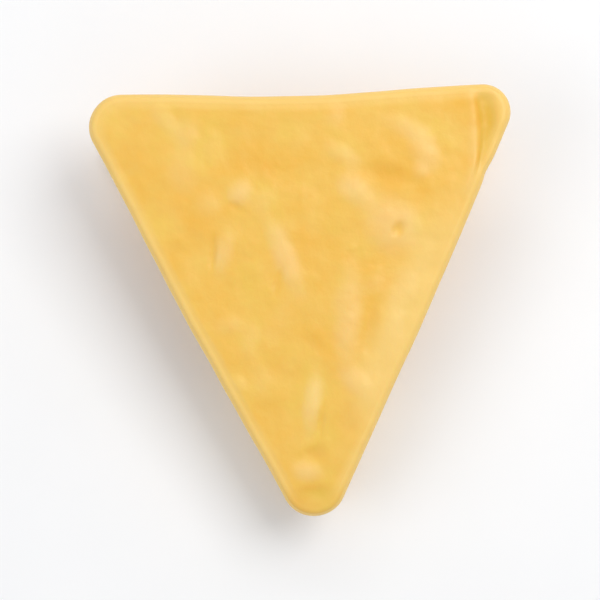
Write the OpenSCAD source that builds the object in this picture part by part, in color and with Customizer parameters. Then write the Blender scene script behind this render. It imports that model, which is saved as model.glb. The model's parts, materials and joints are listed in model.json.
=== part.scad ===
// Spring bag clip with a face shaped like a corn chip.
// The clip lies on its flat rear lever. The hinge pin runs along X, the handles point
// along +Y, the jaws close at the tip along -Y, and +Z points out of the chip face.
// The origin is on the rear face, straight below the middle of the hinge pin.

/* [Chip outline] */
// Width of the chip across its two upper corners
chip_w = 65.2; // [58:0.1:75]
// Height of the chip from its tip to its upper edge
chip_h = 66.8; // [58:0.1:75]
// Radius of the upper right corner
right_r = 4.3; // [3.5:0.1:6]
// Radius of the upper left corner
left_r = 5; // [3.2:0.1:6]
// Radius of the tip
tip_r = 5; // [3.5:0.1:6]
// How far the tip stands to the right of the middle
tip_shift = 2.2; // [-4:0.1:4]
// How much lower the left corner is than the right one
corner_drop = 1.6; // [0:0.1:3]
// How far the upper edge bows inwards
top_bow = 1; // [0:0.1:3]
// How far the left edge bows outwards
left_bow = 0.4; // [0:0.1:2]
// How far the right edge bows outwards
right_bow = 0.3; // [0:0.1:2]

/* [Chip shell] */
// Thickness of the chip over the front lever
chip_t = 2.4; // [2:0.1:3]
// Radius of the rolled rim
rim_r = 1.3; // [0.8:0.1:1.6]
// Wall of the skirt around the front lever
skirt_t = 1.4; // [1.2:0.1:1.6]
// Depth of the skirt
skirt_h = 1.4; // [1:0.1:1.8]
// Height of the gentle crown
crown_h = 0.5; // [0:0.1:1]
// Height of the larger blisters
blister_h = 0.7; // [0:0.1:1]

/* [Levers] */
// Thickness of both lever plates
lever_t = 2.2; // [1.8:0.1:2.6]
// How far both levers stand inside the chip outline
lever_inset = 1.6; // [1.5:0.1:1.8]
// Width of the stiffening rim and ribs
rib_w = 1.1; // [0.9:0.1:1.2]
// Height of the stiffening rim and ribs
rib_h = 1.2; // [0.8:0.1:1.4]
// Angle between the two levers when the jaws are closed
tilt = 8; // [7:0.5:9]
// Distance from each lever's inner face to the hinge axis
hinge_g = 5.4; // [5.2:0.1:5.8]
// How far the hinge stands above the middle of the chip
hinge_lift = 2; // [0:0.5:4]

/* [Hinge] */
// Radius of the hinge pin
pin_r = 1.25; // [1:0.05:1.4]
// Radial running clearance of the pin in the ears that turn on it
run_fit = 0.05; // [0.02:0.01:0.09]
// Radial clearance of the pin in the ears and the cap that hold it
hold_fit = 0.01; // [0.01:0.005:0.02]
// Radius of the round ends of the ears
ear_r = 3.4; // [3:0.1:3.8]
// Thickness of one ear
ear_t = 2.2; // [1.8:0.1:2.6]
// Half the width of an ear where it meets its lever
ear_foot = 6; // [5:0.5:7]
// Half the clear width between the inner ears
bay_half = 5.6; // [5.4:0.1:7]
// Gap between an inner ear and the outer ear beside it
ear_gap = 0.3; // [0.2:0.05:0.4]

/* [Spring] */
// Diameter of the spring wire
wire_d = 1.2; // [1:0.1:1.3]
// Radius of the coil at the middle of the wire
coil_r = 2.65; // [2.5:0.05:2.8]
// Turns of the coil before the legs cut it short
turns = 6; // [5:1:6]
// Distance from one turn to the next
pitch = 1.28; // [1.26:0.02:1.4]
// Distance from the hinge axis to the end of a leg
leg_y = 17; // [14:1:20]

/* [Jaws] */
// Where the jaws start, measured from the hinge axis
jaw_y = 13; // [12:0.5:16]
// How far the jaw noses stand inside the chip outline
nose_inset = 2.6; // [2.2:0.1:2.8]
// Thickness of a grip pad at the middle of its teeth
pad_t = 1.9; // [1.5:0.1:2.2]
// Distance from one tooth to the next
tooth_pitch = 2.4; // [2:0.2:3]
// Height of the teeth above and below their middle
tooth_h = 0.4; // [0.2:0.05:0.5]
// Gap between the two pads when the clip is closed
jaw_gap = 0.2; // [0.15:0.05:0.3]

/* [Hidden] */
$fn = 48;
arc_steps = 6;
edge_steps = 10;
far = 60;
eps = 0.01;
// How far a cutting solid runs past what it cuts
over = 1;
// How deep what stands on a plate is sunk into it
root = 0.5;

chip_yellow = "#f0c04e";
lever_yellow = "#e8b440";
pad_ivory = "#efe6cc";
steel = "#b9bcc0";

hinge_z = lever_t + hinge_g;
outer_ear_x = bay_half + ear_t + ear_gap;
ear_end_x = outer_ear_x + ear_t;

// The three rounded corners as [x, y, radius], anticlockwise from the upper right.
// The edge after each one bows outwards by its value in bows.
corners = [
    [chip_w / 2 - right_r, chip_h / 2 - right_r, right_r],
    [left_r - chip_w / 2, chip_h / 2 - corner_drop - left_r, left_r],
    [tip_shift, tip_r - chip_h / 2, tip_r]
];
bows = [-top_bow, left_bow, right_bow];

// Direction in which edge i faces, from the common tangent of its two corner circles.
function edge_facing(i) =
    let (a = corners[i], b = corners[(i + 1) % 3])
    let (run = [b.x - a.x, b.y - a.y])
    atan2(run.y, run.x) - acos((a.z - b.z) / norm(run));

function corner_point(i, facing, inset) =
    [corners[i].x, corners[i].y - hinge_lift]
    + (corners[i].z - inset) * [cos(facing), sin(facing)];

function corner_arc(i, inset) =
    let (from = edge_facing((i + 2) % 3))
    let (sweep = (edge_facing(i) - from + 720) % 360)
    [for (k = [0:arc_steps]) corner_point(i, from + sweep * k / arc_steps, inset)];

// A bow that starts and ends tangent to the straight edge.
function edge_bow(i, inset) =
    let (facing = edge_facing(i))
    let (a = corner_point(i, facing, inset), b = corner_point((i + 1) % 3, facing, inset))
    [for (k = [1:edge_steps - 1])
        let (t = k / edge_steps)
        a + (b - a) * t + bows[i] * pow(sin(180 * t), 2) * [cos(facing), sin(facing)]];

function outline(inset) =
    [for (i = [0:2]) each concat(corner_arc(i, inset), edge_bow(i, inset))];

// Places a half that is drawn like the rear one, outer face down at z = 0, as the front one.
module as_front() {
    translate([0, 0, hinge_z])
        rotate([tilt, 0, 0])
            mirror([0, 0, 1])
                translate([0, 0, -hinge_z])
                    children();
}

// Turns children drawn about the hinge axis into the plane where the two jaws meet.
module in_jaw_plane() {
    translate([0, 0, hinge_z])
        rotate([tilt / 2, 0, 0])
            children();
}

// ---- chip shell ----

// Large blisters as [x, y, radius, share of blister_h].
blisters = [
    [-10, 14, 5, 0.8], [-2, 4, 5, 0.8], [9, 14, 5, 0.7], [15, 9, 5, 1], [19, 20, 5, 0.8],
    [-19, 23, 6, 0.5], [8, -5, 5, 0.9], [2, -17, 4.5, 0.8], [13, -7, 5, 0.7], [1, -28, 3, 0.5]
];
shell_steps = 11;
rim_steps = 4;
middle = [0, 6 - hinge_lift];

// A blister is down to a thirteenth of its height at its radius.
blister_fall = 1.6;
function blister_at(p, b) =
    blister_h * b[3] * exp(-pow(norm(p - [b.x, b.y]) / b.z * blister_fall, 2));

function sum_of(list, i = 0) = i < len(list) ? list[i] + sum_of(list, i + 1) : 0;

// Height of the chip face above its rim, which fades out towards the rim (s = 1).
function relief(p, s) =
    (1 - pow(s, 6)) * (crown_h + sum_of([for (b = blisters) blister_at(p, b)]));

function flat_ring(inset, z) = [for (p = outline(inset)) [p.x, p.y, z]];

function face_ring(s) =
    [for (q = outline(rim_r))
        let (p = middle + s * (q - middle))
        [p.x, p.y, -chip_t - relief(p, s)]];

// Closed skin over a stack of rings with one point at each end.
module ring_skin(rings, first, last) {
    n = len(rings[0]);
    count = len(rings);
    points = concat([first], [for (ring = rings) each ring], [last]);
    end = len(points) - 1;
    start_fan = [for (i = [0:n - 1]) [0, 1 + (i + 1) % n, 1 + i]];
    end_fan = [for (i = [0:n - 1]) [end, 1 + (count - 1) * n + i, 1 + (count - 1) * n + (i + 1) % n]];
    sides = [for (r = [0:count - 2], i = [0:n - 1])
        let (a = 1 + r * n + i, b = 1 + r * n + (i + 1) % n)
        each [[a, b, b + n], [a, b + n, a + n]]];
    polyhedron(points, concat(start_fan, sides, end_fan));
}

module chip_shell() {
    edge_r = 0.4;
    rim = [for (k = [0:rim_steps])
        let (a = 90 * k / rim_steps)
        flat_ring(rim_r * (1 - cos(a)), rim_r - chip_t - rim_r * sin(a))];
    face = [for (k = [shell_steps - 1:-1:1]) face_ring(k / shell_steps)];
    rings = concat(
        [flat_ring(skirt_t, 0), flat_ring(skirt_t, skirt_h)],
        [flat_ring(edge_r, skirt_h), flat_ring(0, skirt_h - edge_r)],
        rim,
        face
    );
    ring_skin(rings, [middle.x, middle.y, 0], [middle.x, middle.y, -chip_t - relief(middle, 0)]);
}

// Posts that pass through the front lever and are staked over on its inner face.
post_at = [[-16, 19], [17, 20], [2.4, -9]];
post_r = 1.5;
post_fit = 0.1;
post_root = 1;
stake_r = 2.2;
stake_h = 0.8;

module stake_post() {
    translate([0, 0, -post_root])
        cylinder(r = post_r, h = post_root + lever_t + eps);
    translate([0, 0, lever_t + eps])
        cylinder(r1 = stake_r, r2 = post_r, h = stake_h);
}

module front_chip() {
    color(chip_yellow)
        as_front() {
            chip_shell();
            for (p = post_at) translate(p) stake_post();
        }
}

// ---- levers ----

// A plate with a low rim around its inner face.
module tray() {
    difference() {
        linear_extrude(lever_t + rib_h)
            polygon(outline(lever_inset));
        translate([0, 0, lever_t])
            linear_extrude(rib_h + over)
                polygon(outline(lever_inset + rib_w));
    }
}

// Half of a hinge knuckle: a foot that rises tangent to a round end, drawn in Y and Z.
module ear(x) {
    reach = norm([ear_foot, hinge_g]);
    touch = acos(ear_r / reach) - atan2(hinge_g, ear_foot);
    side = [ear_r * cos(touch), hinge_z + ear_r * sin(touch)];
    foot_z = lever_t - root;
    translate([x, 0, 0])
        rotate([90, 0, 90])
            linear_extrude(ear_t) {
                polygon([[-ear_foot, foot_z], [ear_foot, foot_z], [ear_foot, lever_t],
                    side, [-side.x, side.y], [-ear_foot, lever_t]]);
                translate([0, hinge_z])
                    circle(r = ear_r);
            }
}

module ear_pair(x) {
    ear(x);
    ear(-x - ear_t);
}

module pin_bore(r) {
    translate([-far / 2, 0, hinge_z])
        rotate([0, 90, 0])
            cylinder(r = r, h = far);
}

// Jaw nose between the lever and the back of its grip pad, with two cores that keep its walls even.
core_w = 4.6;
core_h = 1.6;
core_deep = 6;
core_apart = 10;
core_middle = tip_shift - 1;
core_out = 3;
module nose() {
    difference() {
        intersection() {
            translate([0, 0, lever_t - root])
                linear_extrude(hinge_z)
                    polygon(outline(nose_inset));
            in_jaw_plane()
                translate([-far, -far, -far - pad_t])
                    cube([2 * far, far - jaw_y, far]);
        }
        in_jaw_plane()
            translate([tip_shift, 0, 0])
                pad_key(key_fit);
        for (side = [-1, 1])
            translate([core_middle + (side * core_apart - core_w) / 2, -jaw_y - core_deep, lever_t])
                cube([core_w, core_deep + core_out, core_h]);
    }
}

// Key on the back of a grip pad, and with some fit the slot that takes it.
key_w = 2.4;
key_l = 9;
key_h = 1;
key_in = 3;
key_fit = 0.05;
module pad_key(fit) {
    translate([-key_w / 2 - fit, -jaw_y - key_in - key_l - fit, -pad_t - key_h - fit])
        cube([key_w + 2 * fit, key_l + 2 * fit, key_h + fit + eps]);
}

// Low walls that keep one spring leg in its place.
seat_fit = 0.15;
seat_w = 0.9;
seat_y = 8;
seat_end = leg_y + 0.6;
module spring_seat(x) {
    wall_x = wire_d / 2 + seat_fit;
    translate([x, 0, lever_t - eps]) {
        for (side = [-1, 1])
            translate([side * (wall_x + seat_w / 2) - seat_w / 2, seat_y, 0])
                cube([seat_w, seat_end + seat_w - seat_y, wire_d + eps]);
        translate([-wall_x - seat_w, seat_end, 0])
            cube([2 * (wall_x + seat_w), seat_w, wire_d + eps]);
    }
}

// Two ribs from the ears to the handle edge.
handle_rib_l = 21;
module handle_ribs() {
    for (x = [-outer_ear_x, outer_ear_x])
        translate([x - rib_w / 2, ear_foot - 1, lever_t - eps])
            cube([rib_w, handle_rib_l, rib_h + eps]);
}

// Shallow round marks that ejector pins leave on the inner face.
mark_at = [[-19, 22], [19, 23], [-15, 3], [16, 3]];
mark_r = 1.6;
mark_deep = 0.15;
module ejector_marks() {
    for (p = mark_at)
        translate([p.x, p.y, lever_t - mark_deep])
            cylinder(r = mark_r, h = over);
}

// Dished ring on the outer face, with the stub of the moulding gate in it.
gate_y = -11;
gate_r = 2.4;
gate_deep = 0.5;
stub_r = 0.7;
stub_h = 0.3;
module gate_dish() {
    translate([0, gate_y, -over])
        difference() {
            cylinder(r = gate_r, h = over + gate_deep);
            translate([0, 0, over + gate_deep - stub_h])
                cylinder(r = stub_r, h = over);
        }
}

// Shallow grooves across the outer face of the handle.
groove_r = 0.8;
groove_deep = 0.35;
groove_l = 22;
groove_y = 12;
groove_step = 3;
groove_count = 5;
module thumb_grooves() {
    for (k = [0:groove_count - 1])
        translate([k - groove_l / 2, groove_y + k * groove_step, groove_deep - groove_r])
            rotate([0, 90, 0])
                cylinder(r = groove_r, h = groove_l - 2 * k);
}

module lever(ear_x, bore_r, seat_x) {
    difference() {
        union() {
            tray();
            ear_pair(ear_x);
            nose();
            spring_seat(seat_x);
            handle_ribs();
        }
        pin_bore(bore_r);
        ejector_marks();
    }
}

module front_lever() {
    color(lever_yellow)
        as_front()
            difference() {
                lever(outer_ear_x, pin_r + hold_fit, -coil_x);
                for (p = post_at)
                    translate([p.x, p.y, -over])
                        cylinder(r = post_r + post_fit, h = lever_t + 2 * over);
            }
}

module rear_lever() {
    color(lever_yellow)
        difference() {
            lever(bay_half, pin_r + run_fit, coil_x);
            thumb_grooves();
            gate_dish();
        }
}

// ---- grip pads ----

// Toothed pad on a jaw nose. Teeth with phase 1 mesh with those with phase -1.
module grip_pad(phase) {
    count = ceil((chip_h / 2 + hinge_lift) / tooth_pitch * 2);
    first = floor(jaw_y / tooth_pitch * 2) - 1;
    crest = [for (k = [first:count])
        [-k * tooth_pitch / 2, phase * (k % 2 * 2 - 1) * tooth_h - jaw_gap / 2]];
    back = [[-count * tooth_pitch / 2, -pad_t], [-first * tooth_pitch / 2, -pad_t]];
    intersection() {
        in_jaw_plane()
            translate([-far, 0, 0])
                rotate([90, 0, 90])
                    linear_extrude(2 * far)
                        polygon(concat(crest, back));
        linear_extrude(2 * hinge_z)
            polygon(outline(nose_inset));
        in_jaw_plane()
            translate([-far, -far, -far])
                cube([2 * far, far - jaw_y, 2 * far]);
    }
    in_jaw_plane()
        translate([tip_shift, 0, 0])
            pad_key(0);
}

module front_jaw_pad() {
    color(pad_ivory)
        as_front()
            grip_pad(-1);
}

module rear_jaw_pad() {
    color(pad_ivory)
        grip_pad(1);
}

// ---- hinge pin and cap ----

head_r = 2.3;
head_h = 0.9;
head_edge = 0.3;
side_play = 0.05;
cap_r = 2.5;
cap_h = 2.2;
cap_grip = 1.4;
end_gap = 0.1;

module hinge_pin() {
    start = -ear_end_x - side_play;
    color(steel)
        translate([start, 0, hinge_z])
            rotate([0, 90, 0]) {
                cylinder(r = pin_r, h = 2 * ear_end_x + 2 * side_play + cap_grip - end_gap);
                translate([0, 0, -head_h + head_edge])
                    cylinder(r = head_r, h = head_h - head_edge);
                translate([0, 0, -head_h])
                    cylinder(r1 = head_r - head_edge, r2 = head_r, h = head_edge);
            }
}

module pin_cap() {
    color(steel)
        translate([ear_end_x + side_play, 0, hinge_z])
            rotate([0, 90, 0])
                difference() {
                    union() {
                        cylinder(r = cap_r, h = cap_h - head_edge);
                        translate([0, 0, cap_h - head_edge])
                            cylinder(r1 = cap_r, r2 = cap_r - head_edge, h = head_edge);
                    }
                    translate([0, 0, -over])
                        cylinder(r = pin_r + hold_fit, h = over + cap_grip);
                }
}

// ---- torsion spring ----

turn_steps = 16;
wire_sides = 10;
leg_gap = 0.1;
leg_drop = hinge_g - wire_d / 2 - leg_gap;
// Direction from the hinge axis to the point where the rear leg leaves the coil.
rear_off = -atan2(leg_drop, leg_y) - acos(coil_r / norm([leg_y, leg_drop]));
front_off = tilt - rear_off;
coil_sweep = 360 * turns + rear_off - front_off;
coil_x = coil_sweep / 360 * pitch / 2;

function on_coil(t) =
    let (a = rear_off - t * coil_sweep)
    [coil_x * (1 - 2 * t), coil_r * cos(a), coil_r * sin(a)];

function wire_path() =
    let (steps = round(coil_sweep / 360 * turn_steps))
    concat(
        [[coil_x, leg_y, -leg_drop]],
        [for (k = [0:steps]) on_coil(k / steps)],
        [[-coil_x, leg_y * cos(tilt) - leg_drop * sin(tilt), leg_y * sin(tilt) + leg_drop * cos(tilt)]]
    );

function unit(v) = v / norm(v);

// Circle of wire around point i of the path.
function wire_ring(path, i, r) =
    let (along = unit(path[min(i + 1, len(path) - 1)] - path[max(i - 1, 0)]))
    let (u = unit([1, 0, 0] - along.x * along))
    let (v = cross(along, u))
    [for (k = [0:wire_sides - 1])
        let (a = 360 * k / wire_sides)
        path[i] + r * (cos(a) * u + sin(a) * v)];

module torsion_spring() {
    path = wire_path();
    last = len(path) - 1;
    color(steel)
        translate([0, 0, hinge_z])
            ring_skin([for (i = [0:last]) wire_ring(path, i, wire_d / 2)], path[0], path[last]);
}

front_chip();
front_lever();
front_jaw_pad();
rear_lever();
rear_jaw_pad();
hinge_pin();
pin_cap();
torsion_spring();
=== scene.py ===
import json
import math
import random

import bmesh
import bpy
import numpy as np
from mathutils import Matrix, Vector, noise


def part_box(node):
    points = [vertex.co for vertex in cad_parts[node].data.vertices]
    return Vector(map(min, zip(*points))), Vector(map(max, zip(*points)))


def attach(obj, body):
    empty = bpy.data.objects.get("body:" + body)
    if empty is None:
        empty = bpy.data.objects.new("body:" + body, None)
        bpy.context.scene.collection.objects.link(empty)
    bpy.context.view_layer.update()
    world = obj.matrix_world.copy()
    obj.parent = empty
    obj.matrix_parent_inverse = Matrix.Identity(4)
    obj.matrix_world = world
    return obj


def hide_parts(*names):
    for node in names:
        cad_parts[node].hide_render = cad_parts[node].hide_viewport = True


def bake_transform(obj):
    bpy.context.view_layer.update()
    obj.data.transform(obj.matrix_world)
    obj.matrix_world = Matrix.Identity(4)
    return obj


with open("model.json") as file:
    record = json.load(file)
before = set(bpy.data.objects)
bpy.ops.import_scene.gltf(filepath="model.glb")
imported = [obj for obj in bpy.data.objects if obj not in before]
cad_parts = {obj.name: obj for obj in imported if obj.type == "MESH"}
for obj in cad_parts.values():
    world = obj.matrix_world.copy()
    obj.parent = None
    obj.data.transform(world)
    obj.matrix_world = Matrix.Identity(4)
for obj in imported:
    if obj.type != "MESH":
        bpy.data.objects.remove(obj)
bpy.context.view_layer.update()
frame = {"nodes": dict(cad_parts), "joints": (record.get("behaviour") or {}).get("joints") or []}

MM = 0.001
SEED = 11

# ---- sizes of the part, in mm ----

HINGE_Z = frame["joints"][0]["pos_m"][2] / MM
TILT = math.radians(8)
HINGE_LIFT = 2.0
CHIP_W = 65.2
CHIP_H = 66.8
RIGHT_R, LEFT_R, TIP_R = 4.3, 5.0, 5.0
TIP_SHIFT = 2.2
CORNER_DROP = 1.6
TOP_BOW, LEFT_BOW, RIGHT_BOW = 1.0, 0.4, 0.3
CHIP_T = 2.4
RIM_R = 1.3
SKIRT_T = 1.4
SKIRT_H = 1.4
LEVER_T = 2.2
WIRE_D = 1.2
COIL_R = 2.65
TURNS = 6
PITCH = 1.28
LEG_Y = 17.0
POST_AT = ((-16, 19), (17, 20), (2.4, -9))
POST_R = 1.5
STAKE_R = 2.2
STAKE_H = 0.8

# ---- the chip's outline, as the part draws it ----

CORNERS = (
    (CHIP_W / 2 - RIGHT_R, CHIP_H / 2 - RIGHT_R, RIGHT_R),
    (LEFT_R - CHIP_W / 2, CHIP_H / 2 - CORNER_DROP - LEFT_R, LEFT_R),
    (TIP_SHIFT, TIP_R - CHIP_H / 2, TIP_R),
)
BOWS = (-TOP_BOW, LEFT_BOW, RIGHT_BOW)


def edge_facing(i):
    """Direction that edge i faces, from the common tangent of its two corner circles."""
    ax, ay, ar = CORNERS[i]
    bx, by, br = CORNERS[(i + 1) % 3]
    run = math.hypot(bx - ax, by - ay)
    return math.atan2(by - ay, bx - ax) - math.acos((ar - br) / run)


def outline(inset, arc_steps, edge_steps):
    """Points of the outline, moved inwards by inset, anticlockwise from the right corner."""
    points = []
    for i in range(3):
        x, y, r = CORNERS[i]
        next_x, next_y, next_r = CORNERS[(i + 1) % 3]
        start = edge_facing((i + 2) % 3)
        facing = edge_facing(i)
        sweep = (facing - start) % (2 * math.pi)
        for k in range(arc_steps):
            angle = start + sweep * k / arc_steps
            points.append((x + (r - inset) * math.cos(angle), y + (r - inset) * math.sin(angle)))
        out = np.array((math.cos(facing), math.sin(facing)))
        first = np.array((x, y)) + (r - inset) * out
        last = np.array((next_x, next_y)) + (next_r - inset) * out
        for k in range(edge_steps):
            t = k / edge_steps
            bow = BOWS[i] * math.sin(math.pi * t) ** 2
            points.append(first + (last - first) * t + bow * out)
    return np.array(points) - (0, HINGE_LIFT)


def chip_to_world(points):
    """From chip coordinates (x, y, height over the front lever, in mm) to metres in the frame."""
    x, y, h = np.asarray(points, float).T
    reach = HINGE_Z + h
    world = np.stack([
        x,
        y * math.cos(TILT) - reach * math.sin(TILT),
        HINGE_Z + y * math.sin(TILT) + reach * math.cos(TILT),
    ], axis=1)
    return world * MM


# ---- small helpers ----

def add_object(name, mesh):
    piece = bpy.data.objects.new(name, mesh)
    bpy.context.collection.objects.link(piece)
    return piece


def smoothstep(low, high, value):
    t = np.clip((value - low) / (high - low), 0, 1)
    return t * t * (3 - 2 * t)


def bake_modifiers(piece):
    """Replaces the piece's mesh with its mesh as modified."""
    shown = piece.evaluated_get(bpy.context.evaluated_depsgraph_get())
    mesh = bpy.data.meshes.new_from_object(shown)
    piece.modifiers.clear()
    piece.data = mesh


def soften(piece, angle):
    """Smooth shading, sharp only at edges that bend by more than the angle in degrees."""
    work = bmesh.new()
    work.from_mesh(piece.data)
    for face in work.faces:
        face.smooth = True
    for edge in work.edges:
        edge.smooth = len(edge.link_faces) == 2 and edge.calc_face_angle(0) < math.radians(angle)
    work.to_mesh(piece.data)
    work.free()


# ---- materials ----

# Linear colours of the chip, from painted shade at the bottom of the corner fold and in the
# hollows, through the plain face yellow, to the painted highlight on top of a blister
FOLD_SHADE_OLIVE = (0.70, 0.44, 0.028)
HOLLOW_SHADE_OCHRE = (0.82, 0.447, 0.053)
LOW_SHADE_YELLOW = (0.86, 0.50, 0.068)
FACE_YELLOW = (0.88, 0.53, 0.095)
BLISTER_HIGHLIGHT_PEACH = (0.95, 0.64, 0.25)
# Clouds in the resin, from orange to lemon
CLOUD_ORANGE = (0.89, 0.46, 0.055)
CLOUD_YELLOW = (0.88, 0.53, 0.10)
CLOUD_LEMON = (0.86, 0.60, 0.11)
CLOUD_SHARE = 0.46
# Pale yellow of the painted rim highlight and of the painted light on the right side
RIM_HIGHLIGHT_PALE = (0.93, 0.63, 0.19)
# The other pieces and the floor
LEVER_DEEP = (0.80, 0.445, 0.06)
LEVER_PALE = (0.87, 0.53, 0.095)
RUBBER_DEEP = (0.80, 0.71, 0.52)
RUBBER_PALE = (0.88, 0.82, 0.66)
PIN_GREY = (0.63, 0.64, 0.66)
WIRE_GREY = (0.56, 0.57, 0.6)
DULL_SHARE = 0.72
FLOOR_DEEP = (0.92, 0.92, 0.925)
FLOOR_PALE = (0.94, 0.94, 0.945)
# How far red, green and blue light travel in the resin, against each other
RESIN_GLOW = (1.0, 0.55, 0.18)

class Shader:
    """A Principled material with short calls for its nodes."""

    def __init__(self, name, **values):
        self.material = bpy.data.materials.new(name)
        self.material.use_nodes = True
        self.tree = self.material.node_tree
        self.base = self.tree.nodes["Principled BSDF"]
        for key, value in values.items():
            self.base.inputs[key.replace("_", " ")].default_value = value
        self.coords = self.node("ShaderNodeTexCoord").outputs["Object"]

    def node(self, kind, **settings):
        made = self.tree.nodes.new(kind)
        for key, value in settings.items():
            setattr(made, key, value)
        return made

    def link(self, source, target):
        self.tree.links.new(source, target)

    def scaled(self, size):
        """Object coordinates stretched by size, a triple of repeats per metre."""
        mapping = self.node("ShaderNodeMapping")
        mapping.inputs["Scale"].default_value = size
        self.link(self.coords, mapping.inputs["Vector"])
        return mapping.outputs["Vector"]

    def noise(self, cell_mm, detail=3.0, roughness=0.5, stretch=(1, 1, 1)):
        """Noise of about cell_mm, from 0 to 1."""
        made = self.node("ShaderNodeTexNoise")
        made.inputs["Scale"].default_value = 1.0
        made.inputs["Detail"].default_value = detail
        made.inputs["Roughness"].default_value = roughness
        size = 1 / (cell_mm * MM)
        self.link(self.scaled([size / s for s in stretch]), made.inputs["Vector"])
        return made.outputs["Fac"]

    def attribute(self, name):
        return self.node("ShaderNodeAttribute", attribute_name=name).outputs["Fac"]

    def ramp(self, value, *stops):
        """Colours along a value: stops are (place, (r, g, b))."""
        made = self.node("ShaderNodeValToRGB")
        made.color_ramp.elements[0].position = stops[0][0]
        made.color_ramp.elements[0].color = (*stops[0][1], 1)
        made.color_ramp.elements[1].position = stops[-1][0]
        made.color_ramp.elements[1].color = (*stops[-1][1], 1)
        for place, colour in stops[1:-1]:
            made.color_ramp.elements.new(place).color = (*colour, 1)
        self.link(value, made.inputs["Fac"])
        return made.outputs["Color"]

    def mix(self, factor, first, second):
        """Blends two colours by a number or a socket; the second may be a plain (r, g, b)."""
        made = self.node("ShaderNodeMix", data_type="RGBA")
        if isinstance(factor, float):
            made.inputs["Factor"].default_value = factor
        else:
            self.link(factor, made.inputs["Factor"])
        self.link(first, made.inputs["A"])
        if isinstance(second, tuple):
            made.inputs["B"].default_value = (*second, 1)
        else:
            self.link(second, made.inputs["B"])
        return made.outputs["Result"]

    def span(self, value, low, high):
        """Maps a value from 0..1 to low..high."""
        made = self.node("ShaderNodeMapRange")
        made.inputs["To Min"].default_value = low
        made.inputs["To Max"].default_value = high
        self.link(value, made.inputs["Value"])
        return made.outputs["Result"]

    def bump(self, height, depth_mm, strength=1.0, after=None):
        made = self.node("ShaderNodeBump")
        made.inputs["Strength"].default_value = strength
        made.inputs["Distance"].default_value = depth_mm * MM
        self.link(height, made.inputs["Height"])
        if after:
            self.link(after, made.inputs["Normal"])
        return made.outputs["Normal"]

    def finish(self, colour, roughness, normal):
        self.link(colour, self.base.inputs["Base Color"])
        self.link(roughness, self.base.inputs["Roughness"])
        self.link(normal, self.base.inputs["Normal"])
        return self.material


def chip_material():
    """Moulded corn-yellow plastic, with painted peach highlights on the blisters, painted shade
    deep in the hollows and the corner fold, and a pale painted highlight at the rim.
    """
    s = Shader("chip_plastic", Subsurface_Weight=0.1, Subsurface_Scale=0.001, IOR=1.46)
    s.base.inputs["Subsurface Radius"].default_value = RESIN_GLOW
    # Painted shade in the fold and the hollows, plain yellow on the flat face, painted highlight
    # on the blisters
    relief = s.ramp(
        s.attribute("crown"),
        (0.0, FOLD_SHADE_OLIVE),
        (0.2, HOLLOW_SHADE_OCHRE),
        (0.36, LOW_SHADE_YELLOW),
        (0.50, FACE_YELLOW),
        (0.95, BLISTER_HIGHLIGHT_PEACH),
    )
    cloud = s.ramp(
        s.noise(10.0, detail=5.0, roughness=0.6),
        (0.34, CLOUD_ORANGE),
        (0.50, CLOUD_YELLOW),
        (0.66, CLOUD_LEMON),
    )
    colour = s.mix(CLOUD_SHARE, relief, cloud)
    # Painted rim highlight, and painted light on the right side, from the rim attribute
    edge = s.span(s.attribute("rim"), 0.0, 0.8)
    colour = s.mix(edge, colour, RIM_HIGHLIGHT_PALE)
    rough = s.span(s.noise(2.2, detail=5.0), 0.36, 0.54)
    pores = s.bump(s.noise(0.5, detail=4.0, roughness=0.6), 0.05, 0.5)
    dimples = s.bump(s.noise(1.7, detail=2.0), 0.09, 0.5, after=pores)
    return s.finish(colour, rough, dimples)


def lever_material():
    """The same resin without relief: satin, with faint flow streaks and rubbed marks."""
    s = Shader("lever_plastic", Subsurface_Weight=0.08, Subsurface_Scale=0.001, IOR=1.46)
    s.base.inputs["Subsurface Radius"].default_value = RESIN_GLOW
    flow = s.noise(7.0, detail=4.0, stretch=(1, 3.5, 1))
    colour = s.ramp(flow, (0.25, LEVER_DEEP), (0.75, LEVER_PALE))
    rough = s.span(s.noise(1.1, detail=6.0, roughness=0.65), 0.3, 0.52)
    grain = s.bump(s.noise(0.28, detail=3.0), 0.02, 0.5)
    streaks = s.bump(s.noise(1.0, detail=3.0, stretch=(0.5, 9, 1)), 0.03, 0.35, after=grain)
    return s.finish(colour, rough, streaks)


def rubber_material():
    """Soft ivory grip rubber, matt, with a fine pebbled skin and a little dust."""
    s = Shader("grip_rubber", Subsurface_Weight=0.15, Subsurface_Scale=0.001, IOR=1.5)
    dust = s.noise(1.6, detail=5.0)
    colour = s.ramp(dust, (0.3, RUBBER_DEEP), (0.7, RUBBER_PALE))
    rough = s.span(s.noise(0.8, detail=3.0), 0.62, 0.8)
    return s.finish(colour, rough, s.bump(s.noise(0.16, detail=2.0), 0.03, 0.6))


def steel_material(name, bright, stretch):
    """Plated steel with marks drawn along one way, and duller patches."""
    s = Shader(name, Metallic=1.0)
    patches = s.noise(1.4, detail=4.0)
    dull = [DULL_SHARE * c for c in bright]
    colour = s.ramp(patches, (0.3, dull), (0.7, bright))
    drawn = s.noise(0.5, detail=4.0, stretch=stretch)
    rough = s.span(drawn, 0.2, 0.42)
    return s.finish(colour, rough, s.bump(drawn, 0.01, 0.5))


CHIP = chip_material()
LEVER = lever_material()
RUBBER = rubber_material()
PIN_STEEL = steel_material("pin_steel", PIN_GREY, (12, 1, 1))
WIRE_STEEL = steel_material("spring_steel", WIRE_GREY, (1, 4, 4))
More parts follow.
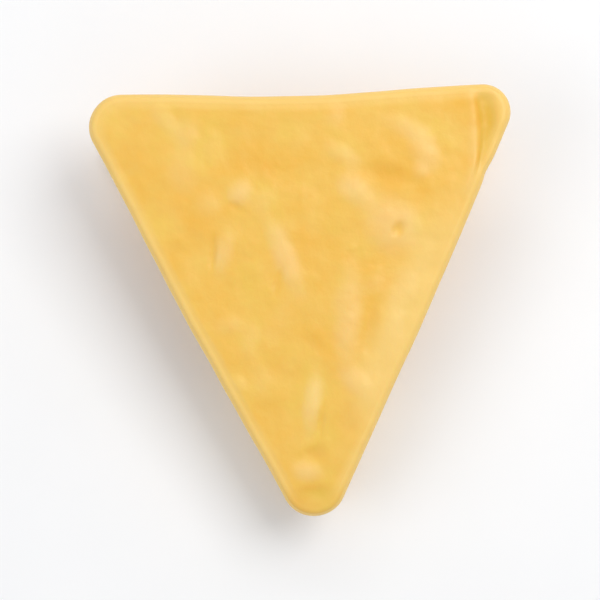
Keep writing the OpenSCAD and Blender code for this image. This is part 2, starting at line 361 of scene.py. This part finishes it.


# ---- chip shell ----

# Blisters, read one by one: x, y, half length, half width, angle in degrees, height, in mm.
# The outline's own middle is their origin.
BLISTERS = (
    (-9.3, 16.6, 1.6, 1.2, 60, 0.38),
    (-14.0, 14.5, 1.8, 1.3, -70, 0.16),
    (-11.8, 7.2, 2.8, 1.1, 78, 0.34),
    (-2.2, 6.4, 4.4, 1.3, -67, 0.46),
    (8.4, 17.0, 2.4, 1.4, -40, 0.38),
    (14.3, 11.4, 3.6, 3.0, -30, 0.50),
    (18.8, 23.4, 2.8, 1.5, -62, 0.40),
    (18.2, 19.8, 1.4, 1.1, 70, 0.26),
    (15.5, 27.0, 3.4, 1.2, -18, 0.20),
    (5.6, 28.4, 1.9, 1.2, 80, 0.20),
    (6.6, 22.4, 3.0, 1.1, -35, 0.24),
    (7.3, -3.4, 5.8, 1.6, 88, 0.40),
    (14.5, -3.4, 4.8, 1.2, 80, 0.34),
    (9.2, -13.0, 2.4, 1.4, -52, 0.38),
    (1.9, -15.8, 3.8, 1.0, 84, 0.42),
    (1.1, -26.3, 1.9, 1.2, -12, 0.44),
    (-20.8, 28.0, 2.8, 1.1, -52, 0.22),
    (-17.4, 25.6, 1.8, 1.3, 80, 0.20),
    (-18.0, 20.0, 2.8, 1.5, 86, 0.16),
    (-13.4, 23.0, 2.0, 1.2, 90, 0.12),
    (-11.0, -3.8, 1.7, 1.2, 10, 0.22),
    (-7.6, -6.4, 2.4, 1.1, 84, 0.16),
    (-3.0, -3.0, 2.2, 1.4, 60, 0.12),
    (-9.4, -13.0, 1.2, 0.9, -60, 0.18),
    (-5.6, -12.6, 1.8, 1.2, -80, 0.14),
    (16.8, 2.2, 1.8, 1.1, 80, 0.18),
    (11.8, 2.4, 1.6, 1.0, 90, 0.14),
    (-5.6, 15.6, 2.2, 1.4, 10, 0.16),
)
# Shallow hollows: x, y, half length, half width, angle in degrees, depth.
HOLLOWS = (
    (-9.6, 14.2, 1.4, 0.6, -28, 0.12),
    (-13.4, 7.4, 2.4, 0.5, 86, 0.26),
    (-3.2, 3.2, 1.8, 0.6, 70, 0.20),
    (15.2, 11.0, 1.0, 0.8, 60, 0.42),
    (13.6, 19.4, 4.6, 1.3, -12, 0.20),
    (2.4, -23.6, 1.6, 1.1, 0, 0.22),
    (2.4, -29.6, 2.2, 1.2, 5, 0.26),
    (3.4, -18.4, 2.4, 0.5, 84, 0.20),
    (7.6, -18.0, 2.4, 1.8, 70, 0.18),
    (2.4, -6.6, 3.2, 1.0, -40, 0.14),
    (11.2, -4.6, 3.6, 0.9, 84, 0.16),
    (-19.2, 7.4, 1.6, 1.4, 0, 0.16),
    (20.6, 5.6, 2.2, 1.0, 66, 0.16),
    (-6.0, 22.0, 4.6, 2.4, 0, 0.12),
)
SMALL_BLISTERS = 110
# Share of its listed height that a blister gets in the mesh
BLISTER_SHARE = 0.7

# The fold in the upper right corner: its ridge is an arc through FOLD_X at FOLD_Y.
FOLD_X = 27.1
FOLD_Y = 25
FOLD_BEND = 0.016
RIDGE_H = 0.26
RIDGE_INNER_W = 1.2
RIDGE_OUTER_W = 0.7
FOLD_DEEP = 0.6

# The rim's slow wave, and the notch in the right edge below the fold
WAVE_H = 0.09
WAVE_CELL = 6
NOTCH_DEEP = 0.32
NOTCH_Y = 20.0
NOTCH_W = 1.3

# The level of painted light and tone where the face is plain, and how much the fold and the tip
# change it: painted highlight on the fold's ridge, painted shade in its hollow and at the tip
PLAIN_TONE_LEVEL = 0.42
FOLD_SHADE_AND_HIGHLIGHT = 1.2
TIP_PAINTED_SHADE = 0.22
# Shares of the painted rim highlight: the wide band of painted light on the right side, which
# faces the key lamp, the narrow painted highlight all round, the very edge
LIT_SIDE_BAND = 0.95
RIM_HIGHLIGHT_BAND = 0.6
EDGE_HIGHLIGHT_BAND = 0.25
# Painted shade at the tip, which turns away from the light: darker from TIP_FROM on, most at
# TIP_TO, and it loses this share of the rim's painted highlight.
TIP_FROM, TIP_TO = -27.0, -31.5
TIP_SHADE_FADE = 0.7
# Share of the relief that is lost at the rim
RELIEF_FADE = 0.35


def oval(p, x, y, length, width, angle):
    """A soft round-shouldered hill of height 1 over an oval."""
    a = math.radians(angle)
    dx, dy = p[:, 0] - x, p[:, 1] - y
    along = (dx * math.cos(a) + dy * math.sin(a)) / length
    across = (dy * math.cos(a) - dx * math.sin(a)) / width
    r2 = along * along + across * across
    return np.exp(-0.6 * r2 - 0.3 * r2 * r2)


def slow_noise(p, cell, offset):
    return np.array([noise.noise(Vector((x / cell, y / cell, offset))) for x, y in p])


def corner_fold(p):
    """The pinched upper right corner: a ridge down from the upper edge and a hollow outside it."""
    x, y = p[:, 0], p[:, 1]
    d = x - FOLD_X + FOLD_BEND * (y - FOLD_Y) ** 2
    opening = smoothstep(20, 27, y)
    flank = np.where(d < 0, d / RIDGE_INNER_W, d / RIDGE_OUTER_W)
    ridge = RIDGE_H * np.exp(-flank ** 2) * smoothstep(14, 19, y)
    middle = 0.9 + 1.1 * opening
    half_width = 0.55 + 0.95 * opening
    basin = np.exp(-(np.abs(d - middle) / half_width) ** 2.4)
    hollow = FOLD_DEEP * basin * smoothstep(18, 22, y) * smoothstep(33.5, 30.5, y)
    return ridge - hollow


def tone_highlight_and_shade(p):
    """Painted light of each point of the face, with random tone: peach painted highlight in
    patches somewhat wider than the blisters, painted shade over the hollows.
    """
    pale = 0.12 * slow_noise(p, 3.2, 4.7) + 0.10 * slow_noise(p, 7.5, 1.9)
    for x, y, length, width, angle, high in BLISTERS:
        pale += 1.2 * high * oval(p, x, y, 1.25 * length, 1.35 * width, angle)
    for x, y, length, width, angle, deep in HOLLOWS:
        pale -= deep * oval(p, x, y, 1.2 * length, 1.2 * width, angle)
    return pale


def face_relief(p):
    """Height of the face over its rim in mm."""
    draw = random.Random(SEED)
    swell = 0.26 + 0.30 * slow_noise(p, 13.0, 0.7) + 0.18 * slow_noise(p, 5.5, 3.1)
    local = 0.10 * slow_noise(p, 2.6, 5.9) + 0.035 * slow_noise(p, 1.1, 8.3)
    for x, y, length, width, angle, high in BLISTERS:
        local += BLISTER_SHARE * high * oval(p, x, y, length, width, angle)
    for x, y, length, width, angle, deep in HOLLOWS:
        local -= deep * oval(p, x, y, length, width, angle)
    for _ in range(SMALL_BLISTERS):
        x, y = draw.uniform(-29, 29), draw.uniform(-30, 31)
        r = draw.uniform(0.5, 1.3)
        high = draw.uniform(-0.06, 0.10)
        local += high * oval(p, x, y, r, r * draw.uniform(0.6, 1), draw.uniform(0, 180))
    return swell + local + corner_fold(p)


def edge_wobble(flat):
    """How far the rim stands in or out of the even outline, with the notch below the fold."""
    wave = WAVE_H * slow_noise(flat, WAVE_CELL, 9.3)
    off = (flat[:, 1] + HINGE_LIFT - NOTCH_Y) / NOTCH_W
    notch = NOTCH_DEEP * np.exp(-off ** 2) * (flat[:, 0] > 0)
    return (wave - notch)[:, None]


def add_post(points, faces, x, y):
    """A post from the shell down through the lever, with the domed head it is staked over into."""
    sides = 40
    profile = (
        (POST_R, 0.8),
        (POST_R, 0.1),
        (POST_R, -LEVER_T),
        (STAKE_R - 0.08, -LEVER_T),
        (STAKE_R, -LEVER_T - 0.08),
        (STAKE_R - 0.03, -LEVER_T - 0.26),
        (STAKE_R - 0.22, -LEVER_T - 0.5),
        (STAKE_R - 0.6, -LEVER_T - 0.7),
        (STAKE_R - 1.1, -LEVER_T - STAKE_H + 0.02),
        (STAKE_R - 1.5, -LEVER_T - STAKE_H),
        (0.35, -LEVER_T - STAKE_H + 0.12),
    )
    start = len(points)
    for r, h in profile:
        for k in range(sides):
            a = 2 * math.pi * k / sides
            points.append((x + r * math.cos(a), y + r * math.sin(a), h))
    points.append((x, y, profile[0][1]))
    points.append((x, y, profile[-1][1] + 0.04))
    top, bottom = len(points) - 2, len(points) - 1
    last = start + (len(profile) - 1) * sides
    for k in range(sides):
        m = (k + 1) % sides
        faces.append((top, start + k, start + m))
        faces.append((bottom, last + m, last + k))
        for r in range(len(profile) - 1):
            a, b = start + r * sides + k, start + r * sides + m
            faces.append((a, a + sides, b + sides, b))


# Points per corner and per edge of the outline, and rings of the rim, the face and the lip
ARC_STEPS, EDGE_STEPS = 40, 150
ROUND_ABOUT = 3 * (ARC_STEPS + EDGE_STEPS)
RIM_STEPS, FACE_STEPS, LIP_STEPS = 10, 92, 5
# How much closer the rings of the face stand towards its rim
RING_SPREAD = 1.2
LIP_R = 0.45
# The rings of the face close in on this point.
MIDDLE = np.array((0, 6 - HINGE_LIFT))


def shell_rings():
    """Rings of the pocket, the skirt and the rolled rim, from the inside out and up."""
    wobble = edge_wobble(outline(0, ARC_STEPS, EDGE_STEPS))

    def ring(inset, height):
        flat = outline(inset, ARC_STEPS, EDGE_STEPS)
        out = flat - MIDDLE
        flat = flat + out / np.linalg.norm(out, axis=1)[:, None] * wobble
        return np.column_stack([flat, np.full(ROUND_ABOUT, height)])

    rings = [
        ring(SKIRT_T, 0),
        ring(SKIRT_T, -SKIRT_H + 0.1),
        ring(SKIRT_T - 0.1, -SKIRT_H),
    ]
    for k in range(LIP_STEPS + 1):
        a = math.pi / 2 * k / LIP_STEPS
        rings.append(ring(LIP_R * (1 - math.sin(a)), -SKIRT_H + LIP_R * (1 - math.cos(a))))
    rings.append(ring(0, 0.4))
    for k in range(RIM_STEPS + 1):
        a = math.pi / 2 * k / RIM_STEPS
        rings.append(ring(RIM_R * (1 - math.cos(a)), CHIP_T - RIM_R * (1 - math.sin(a))))
    return rings


def rim_highlight_shares(flat, share):
    """How much painted rim highlight each point of the face takes, with a wide band of painted
    light on the right side; share is 1 at the rim.
    """
    turn = np.degrees(np.arctan2(flat[:, 1] - MIDDLE[1], flat[:, 0] - MIDDLE[0]))
    # The right side faces the key lamp; its wide band is painted light.
    lit_right_side = smoothstep(-80, -60, turn) * smoothstep(40, 0, turn)
    lit_side_share = LIT_SIDE_BAND * lit_right_side * smoothstep(0.62, 0.88, share)
    rim_highlight_share = RIM_HIGHLIGHT_BAND * smoothstep(0.93, 1.0, share)
    return np.maximum(lit_side_share, rim_highlight_share) + EDGE_HIGHLIGHT_BAND * (share == 1)


def ring_faces(count):
    """Faces between count rings of points, and the fans that close both ends."""
    faces = []
    for r in range(count - 1):
        for i in range(ROUND_ABOUT):
            j = (i + 1) % ROUND_ABOUT
            a, b = r * ROUND_ABOUT + i, r * ROUND_ABOUT + j
            faces.append((a, b, b + ROUND_ABOUT, a + ROUND_ABOUT))
    under, top = count * ROUND_ABOUT, count * ROUND_ABOUT + 1
    last = (count - 1) * ROUND_ABOUT
    for i in range(ROUND_ABOUT):
        j = (i + 1) % ROUND_ABOUT
        faces.append((under, j, i))
        faces.append((top, last + i, last + j))
    return faces


def chip_mesh():
    """The shell as rings of points: pocket, skirt, rolled rim, then the face to its middle."""
    rings = shell_rings()
    edge = rings[-1][:, :2]
    shares = [1 - (k / FACE_STEPS) ** RING_SPREAD for k in range(1, FACE_STEPS)]
    level = np.full(ROUND_ABOUT, CHIP_T)
    face = [np.column_stack([MIDDLE + s * (edge - MIDDLE), level]) for s in shares]
    body = np.concatenate(rings + face)
    points = np.concatenate([body, [[*MIDDLE, 0], [*MIDDLE, CHIP_T]]])

    # Everything from half way up the rim to the middle of the face takes the relief.
    on_face = np.zeros(len(points), bool)
    on_face[(len(rings) - RIM_STEPS // 2) * ROUND_ABOUT:] = True
    on_face[-2] = False
    share = np.ones(len(points))
    share[len(rings) * ROUND_ABOUT:-2] = np.repeat(shares, ROUND_ABOUT)
    share[-1] = 0
    share = share[on_face]
    flat = points[on_face, :2] + (0, HINGE_LIFT)
    fade = 1 - RELIEF_FADE * smoothstep(0.95, 1.0, share)
    up_the_rim = smoothstep(0.6, 1.0, points[on_face, 2] / CHIP_T)
    points[on_face, 2] += face_relief(flat) * fade * up_the_rim

    # Painted shade at the tip
    tip_shade = smoothstep(TIP_FROM, TIP_TO, flat[:, 1])
    # Colour level of the face: peach painted highlight on the blisters and the fold's ridge,
    # painted shade in the hollows, the fold's hollow and at the tip, with tone that differs at
    # random
    face_crown = np.clip(PLAIN_TONE_LEVEL + tone_highlight_and_shade(flat) + FOLD_SHADE_AND_HIGHLIGHT * corner_fold(flat), 0, 1)
    crown = np.full(len(points), PLAIN_TONE_LEVEL)
    crown[on_face] = np.clip(face_crown - TIP_PAINTED_SHADE * tip_shade, 0, 1)
    # Painted rim highlight and painted light on the right side, less at the shaded tip
    rim = np.ones(len(points))
    rim[on_face] = rim_highlight_shares(points[on_face, :2], share) * (1 - TIP_SHADE_FADE * tip_shade)

    faces = ring_faces(len(rings) + len(face))
    points = points.tolist()
    for x, y in POST_AT:
        add_post(points, faces, x, y)
    on_posts = len(points) - len(crown)
    crown = np.append(crown, np.full(on_posts, PLAIN_TONE_LEVEL))
    rim = np.append(rim, np.zeros(on_posts))
    mesh = bpy.data.meshes.new("front_chip_skin")
    mesh.from_pydata(chip_to_world(points).tolist(), [], faces)
    for name, values in (("crown", crown), ("rim", rim)):
        mesh.attributes.new(name, "FLOAT", "POINT").data.foreach_set("value", values)
    mesh.update()
    return mesh


def build_chip():
    chip = add_object("chip_shell", chip_mesh())
    for face in chip.data.polygons:
        face.use_smooth = True
    chip.data.materials.append(CHIP)
    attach(chip, "front_half")
    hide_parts("front_chip")


# ---- moulded pieces, taken from the CAD solids with their edges rounded ----

# Outer edges that bend by more than SHARP are rounded, and all that bend by more than BEND
# limit how far. What bends by less than FLAT is one face.
SHARP = math.radians(38)
BEND = math.radians(2)
FLAT = math.radians(0.6)
# Points closer than this in mm are one point.
MERGE = 0.02
# Share of the room beside an edge that its rounding may take: next to another rounded edge, or not
SHARED_ROOM, FREE_ROOM = 0.45, 0.85
# One edge lies beside another where the way over leads ahead by less than this share.
AHEAD_SHARE = 0.5
# Two edges that meet run on, rather than form a corner, where their cosine is above this.
RUN_ON = 0.87
FAR = 99.0
# A rounding below this share of the full width is left out.
SMALLEST_SHARE = 0.08
# A face with more corners than this is cut into triangles, because its rounding may fold it
MOST_CORNERS = 30


def room_beside(edges, outer):
    """Width in mm that fits between each outer edge and what lies beside it or ends on it."""
    ends = np.array([[v.co for v in e.verts] for e in edges]) / MM
    start, along = ends[:, 0], ends[:, 1] - ends[:, 0]
    length = np.linalg.norm(along, axis=1)
    share = np.where(outer, SHARED_ROOM, FREE_ROOM)
    place = {edge: i for i, edge in enumerate(edges)}
    room = np.full(len(edges), FAR)
    for i in np.flatnonzero(outer):
        middle = start[i] + along[i] / 2
        t = np.clip(((middle - start) * along).sum(axis=1) / length ** 2, 0, 1)
        away = start + t[:, None] * along - middle
        gap = np.linalg.norm(away, axis=1)
        ahead = np.abs(away @ along[i]) / length[i]
        beside = (gap > 1e-6) & (ahead < AHEAD_SHARE * gap)
        beside[i] = False
        if beside.any():
            room[i] = (gap * share)[beside].min()
        for vertex in edges[i].verts:
            for j in (place[e] for e in vertex.link_edges if e in place):
                cosine = abs(along[i] @ along[j]) / length[i] / length[j]
                if cosine < RUN_ON:
                    room[i] = min(room[i], share[j] * length[j])
    return room


def set_edge_widths(work, width_mm):
    """Bevel weights for the outer edges, less where another edge runs close."""
    weight = work.edges.layers.float.new("bevel_weight_edge")
    edges = [e for e in work.edges if len(e.link_faces) == 2 and e.calc_face_angle(0) > BEND]
    sharp = np.array([e.calc_face_angle(0) > SHARP for e in edges])
    outer = sharp & np.array([e.is_convex for e in edges])
    room = room_beside(edges, outer)
    for i, edge in enumerate(edges):
        share = min(1.0, room[i] / width_mm)
        rounded = outer[i] and share > SMALLEST_SHARE
        edge[weight] = share if rounded else 0.0
        edge.smooth = bool(rounded or not sharp[i])


def rounded_copy(name, node, edge_mm, material, body):
    """A copy of a CAD node's mesh with its flat faces joined and its outer edges rounded."""
    mesh = frame["nodes"][node].data.copy()
    mesh.materials.clear()
    mesh.materials.append(material)
    work = bmesh.new()
    work.from_mesh(mesh)
    bmesh.ops.remove_doubles(work, verts=work.verts, dist=MERGE * MM)
    bmesh.ops.dissolve_limit(work, angle_limit=FLAT, verts=work.verts, edges=work.edges)
    bmesh.ops.dissolve_degenerate(work, dist=MERGE * MM, edges=work.edges)
    for face in work.faces:
        face.smooth = True
        face.material_index = 0
    set_edge_widths(work, edge_mm)
    bmesh.ops.triangulate(work, faces=[f for f in work.faces if len(f.verts) > MOST_CORNERS])
    work.to_mesh(mesh)
    work.free()
    piece = add_object(name, mesh)
    bevel = piece.modifiers.new("edges", "BEVEL")
    bevel.width = edge_mm * MM
    bevel.segments = 3
    bevel.limit_method = "WEIGHT"
    bevel.use_clamp_overlap = False
    bevel.loop_slide = False
    bevel.miter_outer = "MITER_SHARP"
    even = piece.modifiers.new("even", "WEIGHTED_NORMAL")
    even.keep_sharp = True
    bake_modifiers(piece)
    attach(piece, body)
    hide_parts(node)


# ---- torsion spring ----

STEPS_PER_TURN = 40
LEG_STEPS = 14
LEG_GAP = 0.1
WIRE_SIDES = 20
WIRE_CHAMFER = 0.18
WIRE_SMOOTH = 32


def wire_path():
    """The wire's middle line in mm round the hinge axis, from the rear leg to the front one."""
    drop = HINGE_Z - LEVER_T - WIRE_D / 2 - LEG_GAP
    rear_off = -math.atan2(drop, LEG_Y) - math.acos(COIL_R / math.hypot(LEG_Y, drop))
    front_off = TILT - rear_off
    sweep = 2 * math.pi * TURNS + rear_off - front_off
    half = sweep / (2 * math.pi) * PITCH / 2
    steps = round(sweep / (2 * math.pi) * STEPS_PER_TURN)

    def on_coil(t):
        a = rear_off - t * sweep
        return np.array((half * (1 - 2 * t), COIL_R * math.cos(a), COIL_R * math.sin(a)))

    rear_end = np.array((half, LEG_Y, -drop))
    front_end = np.array((
        -half,
        LEG_Y * math.cos(TILT) - drop * math.sin(TILT),
        LEG_Y * math.sin(TILT) + drop * math.cos(TILT),
    ))
    rear_run = on_coil(0) - rear_end
    front_run = front_end - on_coil(1)
    rear_leg = [rear_end + rear_run * k / LEG_STEPS for k in range(LEG_STEPS)]
    coil = [on_coil(k / steps) for k in range(steps + 1)]
    front_leg = [on_coil(1) + front_run * k / LEG_STEPS for k in range(1, LEG_STEPS + 1)]
    return np.array(rear_leg + coil + front_leg), half


def wire_mesh(path):
    """A round wire along the path, with a chamfer at both ends."""
    along = np.gradient(path, axis=0)
    along /= np.linalg.norm(along, axis=1)[:, None]
    side = np.array((1.0, 0, 0)) - along[:, :1] * along
    side /= np.linalg.norm(side, axis=1)[:, None]
    across = np.cross(along, side)
    r = WIRE_D / 2
    last = len(path) - 1
    # Each ring's place on the path, its radius, and its shift along the wire
    stations = [(0, r - WIRE_CHAMFER, 0.0), (0, r, WIRE_CHAMFER)]
    stations += [(i, r, 0.0) for i in range(1, last)]
    stations += [(last, r, -WIRE_CHAMFER), (last, r - WIRE_CHAMFER, 0.0)]
    work = bmesh.new()
    rings = []
    for i, radius, shift in stations:
        ring = []
        for k in range(WIRE_SIDES):
            a = 2 * math.pi * k / WIRE_SIDES
            spoke = radius * (math.cos(a) * side[i] + math.sin(a) * across[i])
            point = path[i] + along[i] * shift + spoke
            ring.append(work.verts.new((point + (0, 0, HINGE_Z)) * MM))
        rings.append(ring)
    for one, two in zip(rings, rings[1:]):
        for k in range(WIRE_SIDES):
            m = (k + 1) % WIRE_SIDES
            work.faces.new((one[k], one[m], two[m], two[k]))
    work.faces.new(rings[0][::-1])
    work.faces.new(rings[-1])
    bmesh.ops.recalc_face_normals(work, faces=work.faces)
    mesh = bpy.data.meshes.new("spring_wire")
    work.to_mesh(mesh)
    work.free()
    return mesh


def build_spring():
    path, half = wire_path()
    spring = add_object("spring_wire", wire_mesh(path))
    spring.data.materials.append(WIRE_STEEL)
    soften(spring, WIRE_SMOOTH)
    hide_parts("torsion_spring")
    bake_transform(spring)


# ---- stage, light and camera ----

# The floor lies this far below the rear lever's flat back, so that the two never share a plane.
FLOOR_DROP = 0.05
FLOOR_R = 3.0
WORLD_COLOUR = (0.95, 0.97, 1.0, 1)
WORLD_STRENGTH = 0.55
# Soft boxes: name, place, size in m, power in W, colour
LAMPS = (
    ("key", (0.24, 0.13, 0.46), (0.3, 0.3), 1.2, (1, 0.98, 0.95)),
    ("fill", (-0.34, -0.12, 0.36), (0.3, 0.3), 0.45, (0.96, 0.98, 1)),
    ("top", (0.02, 0.34, 0.36), (0.5, 0.12), 0.35, (1, 1, 1)),
)
CAMERA_DISTANCE = 0.31
CAMERA_LENS = 120


def build_floor():
    mesh = bpy.data.meshes.new("floor")
    r = FLOOR_R
    z = -FLOOR_DROP * MM
    mesh.from_pydata([(-r, -r, z), (r, -r, z), (r, r, z), (-r, r, z)], [], [(0, 1, 2, 3)])
    floor = add_object("floor", mesh)
    s = Shader("floor_paper")
    colour = s.ramp(s.noise(30.0), (0.3, FLOOR_DEEP), (0.7, FLOOR_PALE))
    rough = s.span(s.noise(5.0), 0.85, 0.95)
    floor.data.materials.append(s.finish(colour, rough, s.bump(s.noise(0.6), 0.01, 0.2)))


def area_light(name, place, size, power, colour, target):
    lamp = bpy.data.lights.new(name, "AREA")
    lamp.shape = "RECTANGLE"
    lamp.size, lamp.size_y = size
    lamp.energy = power
    lamp.color = colour
    holder = bpy.data.objects.new(name, lamp)
    holder.location = place
    holder.rotation_euler = (target - Vector(place)).to_track_quat("-Z", "Y").to_euler()
    bpy.context.collection.objects.link(holder)


def build_light(target):
    world = bpy.data.worlds.new("studio")
    world.use_nodes = True
    world.node_tree.nodes["Background"].inputs["Color"].default_value = WORLD_COLOUR
    world.node_tree.nodes["Background"].inputs["Strength"].default_value = WORLD_STRENGTH
    bpy.context.scene.world = world
    bpy.context.scene.view_settings.view_transform = "Standard"
    for name, place, size, power, colour in LAMPS:
        area_light(name, place, size, power, colour, target)


def build_camera():
    """A camera square to the chip's face, over its middle; returns the point that it aims at."""
    low, high = (np.array(c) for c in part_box("front_chip"))
    aim = Vector((low + high) / 2)
    out = Vector((0, -math.sin(TILT), math.cos(TILT)))
    camera = bpy.data.cameras.new("camera")
    camera.lens = CAMERA_LENS
    camera.sensor_width = 36
    holder = bpy.data.objects.new("camera", camera)
    up = Vector((0, math.cos(TILT), math.sin(TILT)))
    right = up.cross(out)
    turn = Matrix((right, up, out)).transposed().to_4x4()
    holder.matrix_world = Matrix.Translation(aim + out * CAMERA_DISTANCE) @ turn
    bpy.context.collection.objects.link(holder)
    bpy.context.scene.camera = holder
    return aim


target = build_camera()
build_chip()
rounded_copy("front_arm", "front_lever", 0.22, LEVER, "front_half")
rounded_copy("rear_arm", "rear_lever", 0.28, LEVER, "rear_half")
rounded_copy("front_grip", "front_jaw_pad", 0.12, RUBBER, "front_half")
rounded_copy("rear_grip", "rear_jaw_pad", 0.12, RUBBER, "rear_half")
rounded_copy("pin", "hinge_pin", 0.15, PIN_STEEL, "front_half")
rounded_copy("pin_end_cap", "pin_cap", 0.15, PIN_STEEL, "front_half")
build_spring()
build_floor()
build_light(target)
